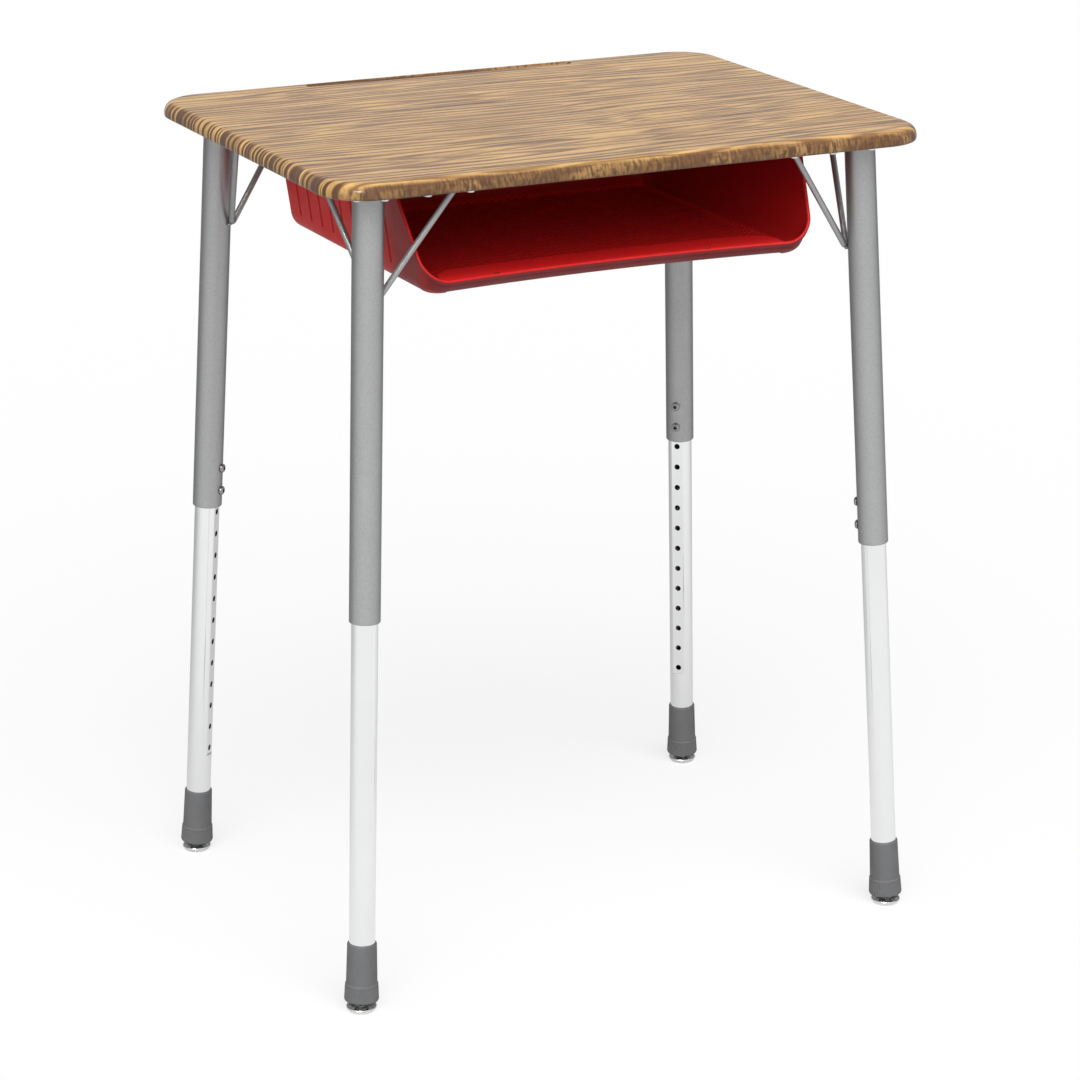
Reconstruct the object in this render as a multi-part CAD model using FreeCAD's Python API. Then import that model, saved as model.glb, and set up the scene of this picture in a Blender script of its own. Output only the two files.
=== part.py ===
# Adjustable student desk: a wood-grain work surface on four splayed telescoping legs,
# with a moulded book box hung under the surface and open towards the pupil.
# Millimetres. The origin is on the floor under the middle of the surface, Z is up,
# X runs along the width and the pupil sits on the -Y side.
import FreeCAD, Part
import math
import os

# Work surface
DESK_H = 860.0
TOP_W = 660.4
TOP_D = 508.0
TOP_T = 16.0
TOP_CORNER_R = 50.0
TOP_UPPER_ROUND = 11.0
TOP_LOWER_ROUND = 2.5
GROOVE_L = 320.0
GROOVE_W = 16.0
GROOVE_DEPTH = 5.0
GROOVE_FROM_BACK = 19.0

# Upper leg tubes
LEG_INSET = 56.0
LEG_LEAN_DEG = 3.6
TUBE_OD = 31.75
TUBE_WALL = 2.1
TUBE_L = 433.5
TUBE_END_ROUND = 1.2

# Leg inserts, with a flat that carries a row of holes
INSERT_CLEAR = 0.3
INSERT_WALL = 1.8
INSERT_FLAT_DEPTH = 1.7
INSERT_HEAD = 12.0
HOLE_D = 6.5
HOLE_PITCH = 25.4
HOLE_COUNT = 14
FLAT_MARGIN = 8.0

# Adjusting screws
SCREW_FROM_END = 18.8
SCREW_D = 6.0
SCREW_HEAD_D = 10.0
SCREW_HEAD_H = 3.2
SCREW_SOCKET = 4.0
SCREW_SOCKET_DEPTH = 1.8
SCREW_HOLE_CLEAR = 0.1
SCREW_TIP_CLEAR = 0.3

# Boots on the lower ends of the inserts
BOOT_TOP = 74.0
BOOT_STEP = 30.0
BOOT_LOW = 11.6
BOOT_FLOOR = 8.0
BOOT_TOP_D = 30.4
BOOT_WAIST_D = 32.2
SKIRT_TOP_D = 34.0
SKIRT_LOW_D = 35.7
BOOT_RIM_CHAMFER = 1.2
BOOT_STEP_RISE = 0.8
SKIRT_ROUND = 2.2
SKIRT_FLUTES = 48
SKIRT_FLUTE_R = 0.8
SKIRT_FLUTE_DEPTH = 0.35
BOOT_FIT = 0.05

# Swivel glides
BALL_H = 6.2
BALL_R = 3.4
SOCKET_CLEAR = 0.3
NECK_D = 4.4
STEM_D = 8.0
STEM_L = 13.0
COLLAR_D = 12.0
COLLAR_T = 1.5
STEM_FIT = 0.05
DISH_D = 31.6
DISH_BASE_D = 22.0
DISH_H = 6.0
DISH_T = 1.2
HUB_D = 13.0
HUB_H = 8.0

# Mounting plates and their screws
PLATE_T = 2.7
PLATE_OUT = 37.0
PLATE_IN = 8.0
PLATE_CORNER_R = 30.0
PLATE_END_R = 12.0
PLATE_NOOK_R = 14.0
PLATE_END_MARGIN = 19.0
PLATE_SCREW_EDGE = 7.0
PLATE_SCREW_NEAR = 4.0
PLATE_SCREW_END = 12.0
WOOD_SCREW_D = 4.2
WOOD_SCREW_BITE = 10.0
WOOD_SCREW_HEAD_D = 9.5
WOOD_SCREW_HEAD_H = 4.0
WOOD_SCREW_FIT = 0.05
CROSS_SLOT_L = 5.0
CROSS_SLOT_W = 1.1
CROSS_SLOT_DEPTH = 1.8

# Braces, one bent rod to each leg
BRACE_D = 6.35
BRACE_DROP = 113.0
BRACE_BEND_R = 5.0
BRACE_TILT_DEG = 19.8
BRACE_HALF_DEG = 30.4
BRACE_WELD_GAP = 0.03

# Book box
BOX_H = 115.0
BOX_WALL = 2.5
BOX_DRAFT_DEG = 8.0
BOX_REAR_DRAFT_DEG = 2.0
BOX_FRONT_LEAN = 0.5
BOX_SIDE_CLEAR = 21.0
BOX_REAR_CLEAR = 10.0
BOX_NOSE_SETBACK = 45.5
BOX_NOSE_H = 15.0
BOX_REAR_R = 25.0
BOX_FRONT_R = 24.0
BOX_BOTTOM_R = 18.0
BOX_BOW = 16.0
BOX_MOUTH_SLOPE = 0.591
RIM_OUT = 1.2
RIM_DEPTH = 3.5
RIM_ROUND = 1.4
FLANGE_W = 14.0
FLANGE_T = 3.0
FLANGE_FRONT_GAP = 12.0
SHELF_DROP = 1.0
SHELF_DEPTH = 50.0
SHELF_END_GAP = 38.0
SHELF_END_R = 30.0
SHELF_EDGE_R = 3.0
SHELF_HOLE_D = 7.0
SHELF_HOLE_LEFT = 132.0
SHELF_HOLE_RIGHT = 106.0
SHELF_HOLE_BACK = 11.0
BOX_FLUTES = 10
BOX_FLUTE_FIRST = 23.5
BOX_FLUTE_LAST = 28.2
BOX_FLUTE_R = 2.7
BOX_FLUTE_DEPTH = 1.5
BOX_FLUTE_FOOT = 21.0
BOX_SCREWS_SIDE = 3
BOX_SCREW_END = 30.0
BOX_SCREW_REAR = 120.0

V = FreeCAD.Vector
UP = V(0, 0, 1)
LEAN = math.radians(LEG_LEAN_DEG)
UNDER = DESK_H - TOP_T
LEG_X = TOP_W / 2 - LEG_INSET
LEG_Y = TOP_D / 2 - LEG_INSET
AXIS_L = UNDER / math.cos(LEAN)
TUBE_R = TUBE_OD / 2
TUBE_LOW = AXIS_L - TUBE_L
INSERT_R = TUBE_R - TUBE_WALL - INSERT_CLEAR
INSERT_LOW = BOOT_LOW + BOOT_FLOOR
UPPER_SCREW = TUBE_LOW + SCREW_FROM_END + HOLE_PITCH
SCREW_PLACES = [UPPER_SCREW - HOLE_PITCH, UPPER_SCREW]
CORNERS = {
    "front_left": (-1, -1),
    "front_right": (1, -1),
    "rear_left": (-1, 1),
    "rear_right": (1, 1),
}


def save(shape, name):
    if not shape.isValid():
        raise ValueError(name + " is not a valid shape")
    shape.exportStep("parts/" + name + ".step")
    print(name, len(shape.Solids), "solids", round(shape.Volume / 1000.0, 2), "cm3")


def group(shapes, name):
    shape = Part.makeCompound(shapes)
    shape.exportStep("parts/" + name + ".step")
    print(name, len(shape.Solids), "solids", round(shape.Volume / 1000.0, 2), "cm3")


def turned(points):
    # A solid of revolution about Z from a closed outline of (radius, height) points.
    corners = [V(r, 0, z) for r, z in points]
    outline = Part.makePolygon(corners + [corners[0]])
    return Part.Face(outline).revolve(V(0, 0, 0), UP, 360)


def rod(radius, start, end):
    return Part.makeCylinder(radius, (end - start).Length, start, end - start)


def rounded_outline(corners):
    # A closed wire through (x, y, radius) corners, with an arc at each one.
    count = len(corners)
    ends = []
    for i in range(count):
        here = V(corners[i][0], corners[i][1], 0)
        before = V(corners[i - 1][0], corners[i - 1][1], 0)
        after = V(corners[(i + 1) % count][0], corners[(i + 1) % count][1], 0)
        back = (before - here).normalize()
        ahead = (after - here).normalize()
        half = back.getAngle(ahead) / 2
        reach = corners[i][2] / math.tan(half)
        middle = (back + ahead).normalize()
        dip = corners[i][2] / math.sin(half) - corners[i][2]
        ends.append((here + back * reach, here + middle * dip, here + ahead * reach))
    edges = []
    for i in range(count):
        first, mid, last = ends[i]
        edges.append(Part.Arc(first, mid, last).toShape())
        following = ends[(i + 1) % count][0]
        edges.append(Part.LineSegment(last, following).toShape())
    return Part.Wire(edges)


def leg_place(sx, sy):
    # Local frame of a leg: origin on its axis at the underside, X towards the desk's middle.
    inward = math.degrees(math.atan2(-sy, -sx))
    return FreeCAD.Placement(V(sx * LEG_X, sy * LEG_Y, UNDER), FreeCAD.Rotation(UP, inward))


# Frame of the leg's axis inside the leg's local frame: origin on the floor, Z up along the leg.
AXIS_PLACE = FreeCAD.Placement(
    V(-UNDER * math.tan(LEAN), 0, -UNDER), FreeCAD.Rotation(V(0, 1, 0), LEG_LEAN_DEG)
)


def along_axis(shape):
    moved = shape.copy()
    moved.Placement = AXIS_PLACE.multiply(moved.Placement)
    return moved


def at_leg(shape, corner):
    moved = shape.copy()
    moved.Placement = leg_place(*CORNERS[corner]).multiply(moved.Placement)
    return moved


# Brace: two straight arms and a tight bend in one tilted plane, welded to the tube's inner side
def brace_points():
    tilt = math.radians(BRACE_TILT_DEG)
    half = math.radians(BRACE_HALF_DEG)
    rise = V(math.sin(tilt), 0, math.cos(tilt))
    side = V(0, 1, 0)
    stand_off = (TUBE_R + BRACE_D / 2 + BRACE_WELD_GAP) / math.cos(LEAN)
    mid = V(stand_off - BRACE_DROP * math.tan(LEAN), 0, -BRACE_DROP)
    centre = mid + rise * BRACE_BEND_R
    bend_start = centre - rise * BRACE_BEND_R * math.sin(half) + side * BRACE_BEND_R * math.cos(half)
    arm = rise * math.cos(half) + side * math.sin(half)
    length = (-PLATE_T - bend_start.z) / arm.z
    return mid, bend_start, arm, length


BRACE_MID, BEND_START, ARM, ARM_L = brace_points()
BRACE_END = BEND_START + ARM * ARM_L
END_ALONG = (BRACE_END.x + BRACE_END.y) / math.sqrt(2)


def mirrored_y(point):
    return V(point.x, -point.y, point.z)


def make_brace():
    spare = BRACE_D * 2
    tip = BRACE_END + ARM * spare
    far_arm = Part.LineSegment(tip, BEND_START).toShape()
    bend = Part.Arc(BEND_START, BRACE_MID, mirrored_y(BEND_START)).toShape()
    near_arm = Part.LineSegment(mirrored_y(BEND_START), mirrored_y(tip)).toShape()
    path = Part.Wire([far_arm, bend, near_arm])
    section = Part.Wire(Part.makeCircle(BRACE_D / 2, tip, ARM))
    bar = path.makePipeShell([section], True, False)
    reach = 4 * (abs(tip.x) + abs(tip.y))
    above = Part.makeBox(reach, reach, reach, V(-reach / 2, -reach / 2, -PLATE_T))
    return bar.cut(above)


# Mounting plate: two arms along the edges of the surface, meeting over the leg
def plate_point(along, across):
    # A point from its distances inwards along the two edges, in the leg's local frame.
    return V((along + across) / math.sqrt(2), (along - across) / math.sqrt(2), 0)


PLATE_REACH = END_ALONG + PLATE_END_MARGIN


def plate_screw_places():
    line = PLATE_SCREW_EDGE - PLATE_OUT
    far = PLATE_REACH - PLATE_SCREW_END
    middle = (PLATE_SCREW_NEAR + far) / 2
    corner = PLATE_CORNER_R * (1 - 1 / math.sqrt(2)) + PLATE_SCREW_EDGE - PLATE_OUT
    places = [(corner, corner)]
    for along in (PLATE_SCREW_NEAR, middle, far):
        places.append((along, line))
        places.append((line, along))
    return [plate_point(a, b) for a, b in places]


def make_plate():
    corners = [
        (-PLATE_OUT, -PLATE_OUT, PLATE_CORNER_R),
        (PLATE_REACH, -PLATE_OUT, PLATE_END_R),
        (PLATE_REACH, PLATE_IN, PLATE_END_R),
        (PLATE_IN + PLATE_NOOK_R, PLATE_IN, PLATE_NOOK_R / 2),
        (PLATE_IN, PLATE_IN + PLATE_NOOK_R, PLATE_NOOK_R / 2),
        (PLATE_IN, PLATE_REACH, PLATE_END_R),
        (-PLATE_OUT, PLATE_REACH, PLATE_END_R),
    ]
    outline = rounded_outline(corners)
    plate = Part.Face(outline).extrude(V(0, 0, -PLATE_T))
    plate.rotate(V(0, 0, 0), UP, -45)
    hole_r = WOOD_SCREW_D / 2 + WOOD_SCREW_FIT
    holes = [Part.makeCylinder(hole_r, PLATE_T * 3, p - UP * PLATE_T * 2) for p in plate_screw_places()]
    return plate.cut(holes)


def wood_screw(head_seat, clamped):
    # A pan-head screw that points up: seat is under the head, then the clamped sheet and the bite.
    shank = Part.makeCylinder(WOOD_SCREW_D / 2, clamped + WOOD_SCREW_BITE, head_seat)
    head_r = WOOD_SCREW_HEAD_D / 2
    head = turned([
        (0, 0),
        (head_r, 0),
        (head_r, -WOOD_SCREW_HEAD_H * 0.5),
        (head_r * 0.86, -WOOD_SCREW_HEAD_H * 0.85),
        (head_r * 0.6, -WOOD_SCREW_HEAD_H),
        (0, -WOOD_SCREW_HEAD_H),
    ])
    head.translate(head_seat)
    under = head_seat - UP * WOOD_SCREW_HEAD_H
    half_l = CROSS_SLOT_L / 2
    half_w = CROSS_SLOT_W / 2
    slot_a = Part.makeBox(CROSS_SLOT_L, CROSS_SLOT_W, CROSS_SLOT_DEPTH, under - V(half_l, half_w, 0))
    slot_b = Part.makeBox(CROSS_SLOT_W, CROSS_SLOT_L, CROSS_SLOT_DEPTH, under - V(half_w, half_l, 0))
    return head.cut([slot_a, slot_b]).fuse(shank).removeSplitter()


# Upper tube
def make_tube():
    outer = Part.makeCylinder(TUBE_R, TUBE_L + TUBE_OD, V(0, 0, TUBE_LOW))
    low_edge = [e for e in outer.Edges if abs(e.BoundBox.ZMax - TUBE_LOW) < 1e-6]
    outer = outer.makeFillet(TUBE_END_ROUND, low_edge)
    bore = Part.makeCylinder(TUBE_R - TUBE_WALL, TUBE_L + 3 * TUBE_OD, V(0, 0, TUBE_LOW - TUBE_OD))
    hole_r = SCREW_D / 2 + SCREW_HOLE_CLEAR
    holes = [Part.makeCylinder(hole_r, TUBE_OD, V(0, 0, s), V(1, 0, 0)) for s in SCREW_PLACES]
    tube = along_axis(outer.cut([bore] + holes))
    cap = 4 * TUBE_OD
    above = Part.makeBox(cap, cap, cap, V(-cap / 2, -cap / 2, -PLATE_T))
    return tube.cut(above)


# Leg insert
INSERT_TOP = UPPER_SCREW + INSERT_HEAD
LOWEST_HOLE = UPPER_SCREW - (HOLE_COUNT - 1) * HOLE_PITCH


def make_insert():
    length = INSERT_TOP - INSERT_LOW
    outer = Part.makeCylinder(INSERT_R, length, V(0, 0, INSERT_LOW))
    inner = Part.makeCylinder(INSERT_R - INSERT_WALL, length, V(0, 0, INSERT_LOW))
    flat_low = LOWEST_HOLE - FLAT_MARGIN
    size = 2 * INSERT_R
    tall = INSERT_TOP - flat_low + size
    outer_flat = Part.makeBox(size, size, tall, V(INSERT_R - INSERT_FLAT_DEPTH, -INSERT_R, flat_low))
    inner_face = INSERT_R - INSERT_FLAT_DEPTH - INSERT_WALL
    inner_low = V(inner_face, -INSERT_R, flat_low - INSERT_WALL)
    inner_flat = Part.makeBox(size, size, tall + INSERT_WALL, inner_low)
    insert = outer.cut(outer_flat).cut(inner.cut(inner_flat))
    places = [UPPER_SCREW - i * HOLE_PITCH for i in range(HOLE_COUNT)]
    holes = [Part.makeCylinder(HOLE_D / 2, size, V(0, 0, s), V(1, 0, 0)) for s in places]
    return along_axis(insert.cut(holes))


# Adjusting screws, button heads with a hexagon socket, on the tube's inner side
def make_adjusting_screw(height):
    tip = INSERT_R - INSERT_FLAT_DEPTH + SCREW_TIP_CLEAR
    seat = TUBE_R
    shank = Part.makeCylinder(SCREW_D / 2, seat - tip, V(tip, 0, height), V(1, 0, 0))
    head = Part.makeCylinder(SCREW_HEAD_D / 2, SCREW_HEAD_H, V(seat, 0, height), V(1, 0, 0))
    top_edge = [e for e in head.Edges if abs(e.BoundBox.XMin - (seat + SCREW_HEAD_H)) < 1e-6]
    head = head.makeFillet(SCREW_HEAD_H * 0.8, top_edge)
    socket_r = SCREW_SOCKET / math.sqrt(3)
    turns = [k * math.pi / 3 for k in range(7)]
    hexagon = Part.makePolygon([V(0, socket_r * math.cos(t), socket_r * math.sin(t)) for t in turns])
    socket = Part.Face(hexagon).extrude(V(SCREW_SOCKET_DEPTH * 2, 0, 0))
    socket.translate(V(seat + SCREW_HEAD_H - SCREW_SOCKET_DEPTH, 0, height))
    return along_axis(head.cut(socket).fuse(shank).removeSplitter())


# Boot
def make_boot():
    bore = INSERT_R + BOOT_FIT
    stem = STEM_D / 2 + STEM_FIT
    floor_top = BOOT_LOW + BOOT_FLOOR
    low_r = SKIRT_LOW_D / 2
    body = turned([
        (stem, BOOT_LOW),
        (low_r - SKIRT_ROUND, BOOT_LOW),
        (low_r - SKIRT_ROUND * 0.3, BOOT_LOW + SKIRT_ROUND * 0.3),
        (low_r, BOOT_LOW + SKIRT_ROUND),
        (SKIRT_TOP_D / 2, BOOT_STEP),
        (BOOT_WAIST_D / 2, BOOT_STEP + BOOT_STEP_RISE),
        (BOOT_TOP_D / 2, BOOT_TOP - BOOT_RIM_CHAMFER),
        (BOOT_TOP_D / 2 - BOOT_RIM_CHAMFER / 2, BOOT_TOP),
        (bore, BOOT_TOP),
        (bore, floor_top),
        (stem, floor_top),
    ])
    out = SKIRT_FLUTE_R - SKIRT_FLUTE_DEPTH
    low = V(low_r + out, 0, BOOT_LOW)
    high = V(SKIRT_TOP_D / 2 + out, 0, BOOT_STEP - SKIRT_FLUTE_R * 2)
    groove = rod(SKIRT_FLUTE_R, low, high)
    grooves = []
    for k in range(SKIRT_FLUTES):
        copy = groove.copy()
        copy.rotate(V(0, 0, 0), UP, k * 360.0 / SKIRT_FLUTES)
        grooves.append(copy)
    return along_axis(body.cut(grooves))


# Ball stud of the glide, pressed into the boot
def make_ball_stud():
    collar_low = BOOT_LOW - COLLAR_T
    ball = Part.makeSphere(BALL_R, V(0, 0, BALL_H))
    neck = Part.makeCylinder(NECK_D / 2, collar_low - BALL_H, V(0, 0, BALL_H))
    collar = Part.makeCylinder(COLLAR_D / 2, COLLAR_T, V(0, 0, collar_low))
    stem = Part.makeCylinder(STEM_D / 2, STEM_L, V(0, 0, BOOT_LOW))
    return along_axis(ball.fuse([neck, collar, stem]).removeSplitter())


# Swivel dish of the glide, level on the floor
def make_dish():
    rim_r = DISH_D / 2
    base_r = DISH_BASE_D / 2
    hub_r = HUB_D / 2
    outer = turned([
        (0, 0),
        (base_r, 0),
        (base_r + (rim_r - base_r) * 0.55, DISH_H * 0.22),
        (rim_r - DISH_T * 0.4, DISH_H * 0.6),
        (rim_r, DISH_H * 0.85),
        (rim_r - DISH_T * 0.4, DISH_H),
        (rim_r - DISH_T, DISH_H),
        (rim_r - DISH_T * 1.6, DISH_H * 0.62),
        (base_r, DISH_T * 1.3),
        (hub_r, DISH_T * 1.2),
        (hub_r, HUB_H - DISH_T),
        (hub_r - DISH_T, HUB_H),
        (0, HUB_H),
    ])
    ball_z = BALL_H * math.cos(LEAN)
    socket = Part.makeSphere(BALL_R + SOCKET_CLEAR, V(0, 0, ball_z))
    dish = outer.cut(socket)
    place = AXIS_PLACE.multVec(V(0, 0, BALL_H))
    dish.translate(place - UP * ball_z)
    return dish


# Work surface
def make_work_surface(pilot_holes):
    slab = Part.makeBox(TOP_W, TOP_D, TOP_T, V(-TOP_W / 2, -TOP_D / 2, UNDER))
    upright = [e for e in slab.Edges if e.BoundBox.ZLength > TOP_T / 2]
    slab = slab.makeFillet(TOP_CORNER_R, upright)
    upper = [e for e in slab.Edges if e.BoundBox.ZMin > DESK_H - 1e-6]
    slab = slab.makeFillet(TOP_UPPER_ROUND, upper)
    lower = [e for e in slab.Edges if e.BoundBox.ZMax < UNDER + 1e-6]
    slab = slab.makeFillet(TOP_LOWER_ROUND, lower)
    groove_r = (GROOVE_W ** 2 / 4 + GROOVE_DEPTH ** 2) / (2 * GROOVE_DEPTH)
    y = TOP_D / 2 - GROOVE_FROM_BACK
    z = DESK_H - GROOVE_DEPTH + groove_r
    left = V(-GROOVE_L / 2 + groove_r, y, z)
    right = V(GROOVE_L / 2 - groove_r, y, z)
    groove = rod(groove_r, left, right)
    groove = groove.fuse([Part.makeSphere(groove_r, left), Part.makeSphere(groove_r, right)])
    return slab.cut(groove).cut(pilot_holes)


# Book box
BOX_LOW = UNDER - BOX_H
FLANGE_SIDE = LEG_X - PLATE_IN - BOX_SIDE_CLEAR
FLANGE_REAR = LEG_Y - PLATE_IN - BOX_REAR_CLEAR
BOX_TOP_HALF = FLANGE_SIDE - FLANGE_W
BOX_TOP_REAR = FLANGE_REAR - FLANGE_W
NOSE_Z = BOX_LOW + BOX_NOSE_H
NOSE_Y = BOX_NOSE_SETBACK - TOP_D / 2
MOUTH_TOP = NOSE_Y + (UNDER - NOSE_Z) * BOX_MOUTH_SLOPE
BOW_R = (BOX_TOP_HALF ** 2 + BOX_BOW ** 2) / (2 * BOX_BOW)
SIDE_DRAFT = math.radians(BOX_DRAFT_DEG)
REAR_DRAFT = math.radians(BOX_REAR_DRAFT_DEG)


def box_half(z, inset):
    return BOX_TOP_HALF - (UNDER - z) * math.tan(SIDE_DRAFT) - inset / math.cos(SIDE_DRAFT)


def box_rear(z, inset):
    return BOX_TOP_REAR - (UNDER - z) * math.tan(REAR_DRAFT) - inset / math.cos(REAR_DRAFT)


def box_front(z, inset):
    # The place of the bowed front wall at the box's corners.
    return NOSE_Y - (z - NOSE_Z) * BOX_FRONT_LEAN + inset * math.sqrt(1 + BOX_FRONT_LEAN ** 2)


def bow_centre(front):
    return front - math.sqrt(BOW_R ** 2 - BOX_TOP_HALF ** 2)


def box_outline(z, inset):
    # The plan of the box at one height: straight sides and rear, a front bowed inwards.
    half = box_half(z, inset)
    rear = box_rear(z, inset)
    centre = V(0, bow_centre(box_front(z, inset)), z)
    front_r = BOX_FRONT_R - inset
    corner_y = centre.y + math.sqrt((BOW_R + front_r) ** 2 - (half - front_r) ** 2)
    corner = V(half - front_r, corner_y, z)
    to_bow = (centre - corner).normalize()
    between = (to_bow + V(1, 0, 0)).normalize()
    right = [V(half, corner_y, z), corner + between * front_r, corner + to_bow * front_r]
    left = [V(-p.x, p.y, p.z) for p in right]
    r = BOX_REAR_R - inset
    diag = r / math.sqrt(2)
    rear_mid = V(half - r + diag, rear - r + diag, z)
    edges = [
        Part.LineSegment(V(half, corner_y, z), V(half, rear - r, z)).toShape(),
        Part.Arc(V(half, rear - r, z), rear_mid, V(half - r, rear, z)).toShape(),
        Part.LineSegment(V(half - r, rear, z), V(r - half, rear, z)).toShape(),
        Part.Arc(V(r - half, rear, z), V(-rear_mid.x, rear_mid.y, z), V(-half, rear - r, z)).toShape(),
        Part.LineSegment(V(-half, rear - r, z), left[0]).toShape(),
        Part.Arc(left[0], left[1], left[2]).toShape(),
        Part.Arc(left[2], V(0, centre.y + BOW_R, z), right[2]).toShape(),
        Part.Arc(right[2], right[1], right[0]).toShape(),
    ]
    return Part.Wire(edges)


def basin(inset, top):
    low = BOX_LOW + inset
    solid = Part.makeLoft([box_outline(low, inset), box_outline(top, inset)], True, True)
    floor_edges = [e for e in solid.Edges if e.BoundBox.ZMax < low + 1e-4]
    return solid.makeFillet(BOX_BOTTOM_R - inset, floor_edges)


def bowed_block(front, high, low, slope):
    # Everything in front of a bowed surface, between two heights; front is its place at the top.
    wide = TOP_W
    centre_y = bow_centre(front)
    end_y = centre_y + math.sqrt(BOW_R ** 2 - (wide / 2) ** 2)
    a = V(-wide / 2, end_y, high)
    b = V(wide / 2, end_y, high)
    bow = Part.Arc(a, V(0, centre_y + BOW_R, high), b).toShape()
    out_b = V(wide / 2, -2 * TOP_D, high)
    out_a = V(-wide / 2, -2 * TOP_D, high)
    straight = [Part.makeLine(b, out_b), Part.makeLine(out_b, out_a), Part.makeLine(out_a, a)]
    outline = Part.Wire([bow] + straight)
    return Part.Face(outline).extrude(V(0, (low - high) * slope, low - high))


def mouth_tool(shift):
    # The space in front of the slanted mouth of the box, moved back by the shift.
    high = UNDER + FLANGE_T * 4
    front = NOSE_Y + (high - NOSE_Z) * BOX_MOUTH_SLOPE + shift
    return bowed_block(front, high, BOX_LOW - BOX_NOSE_H, BOX_MOUTH_SLOPE)


def on_mouth(edge):
    # Whether an edge lies in the slanted, bowed surface that the mouth is cut along.
    for point in edge.discretize(5):
        front = NOSE_Y + (point.z - NOSE_Z) * BOX_MOUTH_SLOPE
        reach = math.hypot(point.x, point.y - bow_centre(front))
        if abs(reach - BOW_R) > 1e-3:
            return False
    return True


def shelf_block(inset, low):
    # The raised shelf along the front of the floor, which keeps books from sliding out.
    high = NOSE_Z - SHELF_DROP - inset
    half = BOX_TOP_HALF - SHELF_END_GAP - inset
    block = bowed_block(NOSE_Y + SHELF_DEPTH - inset, high, low, 0.0)
    between = Part.makeBox(2 * half, 3 * TOP_D, 2 * BOX_H, V(-half, -2 * TOP_D, low - BOX_H))
    block = block.common(between)
    behind_nose = [e for e in block.Edges if e.BoundBox.YMin > NOSE_Y]
    upright = [e for e in behind_nose if e.BoundBox.ZLength > (high - low) / 2]
    return block.makeFillet(SHELF_END_R - inset, upright)


def make_shelf():
    shelf = shelf_block(0.0, BOX_LOW + BOX_WALL / 2)
    high = shelf.BoundBox.ZMax
    edge = [e for e in shelf.Edges if e.BoundBox.ZMin > high - 1e-3 and e.BoundBox.YMin > -TOP_D]
    return shelf.makeFillet(SHELF_EDGE_R, edge)


def shelf_hollow():
    # The shelf is moulded as a step, so the underside is open behind the front wall.
    low = BOX_LOW - BOX_WALL
    hollow = shelf_block(BOX_WALL, low)
    high = hollow.BoundBox.ZMax
    front_wall = bowed_block(box_front(high, BOX_WALL), high, low, -BOX_FRONT_LEAN)
    return hollow.cut(front_wall)


def shelf_holes():
    # Two small drain holes close behind the bowed front of the shelf.
    low = NOSE_Z - SHELF_DROP - BOX_WALL * 1.5
    holes = []
    for x in (-SHELF_HOLE_LEFT, SHELF_HOLE_RIGHT):
        y = bow_centre(NOSE_Y + SHELF_HOLE_BACK) + math.sqrt(BOW_R ** 2 - x ** 2)
        holes.append(Part.makeCylinder(SHELF_HOLE_D / 2, BOX_WALL * 3, V(x, y, low)))
    return holes


def box_screw_places():
    z = UNDER - FLANGE_T
    side = BOX_TOP_HALF + FLANGE_W / 2
    first = MOUTH_TOP + FLANGE_FRONT_GAP + BOX_SCREW_END
    last = BOX_TOP_REAR - BOX_REAR_R - BOX_SCREW_END
    step = (last - first) / (BOX_SCREWS_SIDE - 1)
    places = []
    for sx in (-1, 1):
        for k in range(BOX_SCREWS_SIDE):
            places.append(V(sx * side, first + k * step, z))
        places.append(V(sx * BOX_SCREW_REAR, BOX_TOP_REAR + FLANGE_W / 2, z))
    return places


def box_flutes():
    # Shallow round flutes down the outside of both side walls, each with a ball-shaped foot.
    out = BOX_FLUTE_R - BOX_FLUTE_DEPTH
    low_z = BOX_LOW + BOX_FLUTE_FOOT
    high_z = UNDER - FLANGE_T
    first = BOX_TOP_REAR - BOX_FLUTE_FIRST
    last = MOUTH_TOP + BOX_FLUTE_LAST
    step = (last - first) / (BOX_FLUTES - 1)
    flutes = []
    for sx in (-1, 1):
        for k in range(BOX_FLUTES):
            y = first + k * step
            low = V(sx * (box_half(low_z, 0) + out), y, low_z)
            high = V(sx * (box_half(high_z, 0) + out), y, high_z)
            cutter = rod(BOX_FLUTE_R, low, high)
            flutes.append(cutter.fuse(Part.makeSphere(BOX_FLUTE_R, low)))
    return flutes


def make_flange():
    # The lip that the screws pull up against the surface; it ends short of the mouth.
    flange = Part.Face(box_outline(UNDER, -FLANGE_W)).extrude(V(0, 0, -FLANGE_T))
    front_line = MOUTH_TOP + FLANGE_FRONT_GAP
    ahead_low = V(-TOP_W, front_line - TOP_D, UNDER - 2 * FLANGE_T)
    ahead = Part.makeBox(2 * TOP_W, TOP_D, 4 * FLANGE_T, ahead_low)
    hole_r = WOOD_SCREW_D / 2 + WOOD_SCREW_FIT
    holes = [Part.makeCylinder(hole_r, FLANGE_T * 3, p - UP * FLANGE_T) for p in box_screw_places()]
    return flange.cut([ahead] + holes)


def make_book_box():
    outer = basin(0.0, UNDER)
    inner = basin(BOX_WALL, UNDER + FLANGE_T)
    mouth = mouth_tool(0.0)
    rim = basin(-RIM_OUT, UNDER).common(mouth_tool(RIM_DEPTH))
    shelf = make_shelf().common(outer).cut(mouth)
    shell = outer.cut(box_flutes()).fuse([rim, make_flange()]).cut([inner, mouth])
    body = shell.fuse(shelf).cut(shelf_hollow()).removeSplitter()
    body = body.makeFillet(RIM_ROUND, [e for e in body.Edges if on_mouth(e)])
    return body.cut(shelf_holes())


os.makedirs("parts", exist_ok=True)

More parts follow.
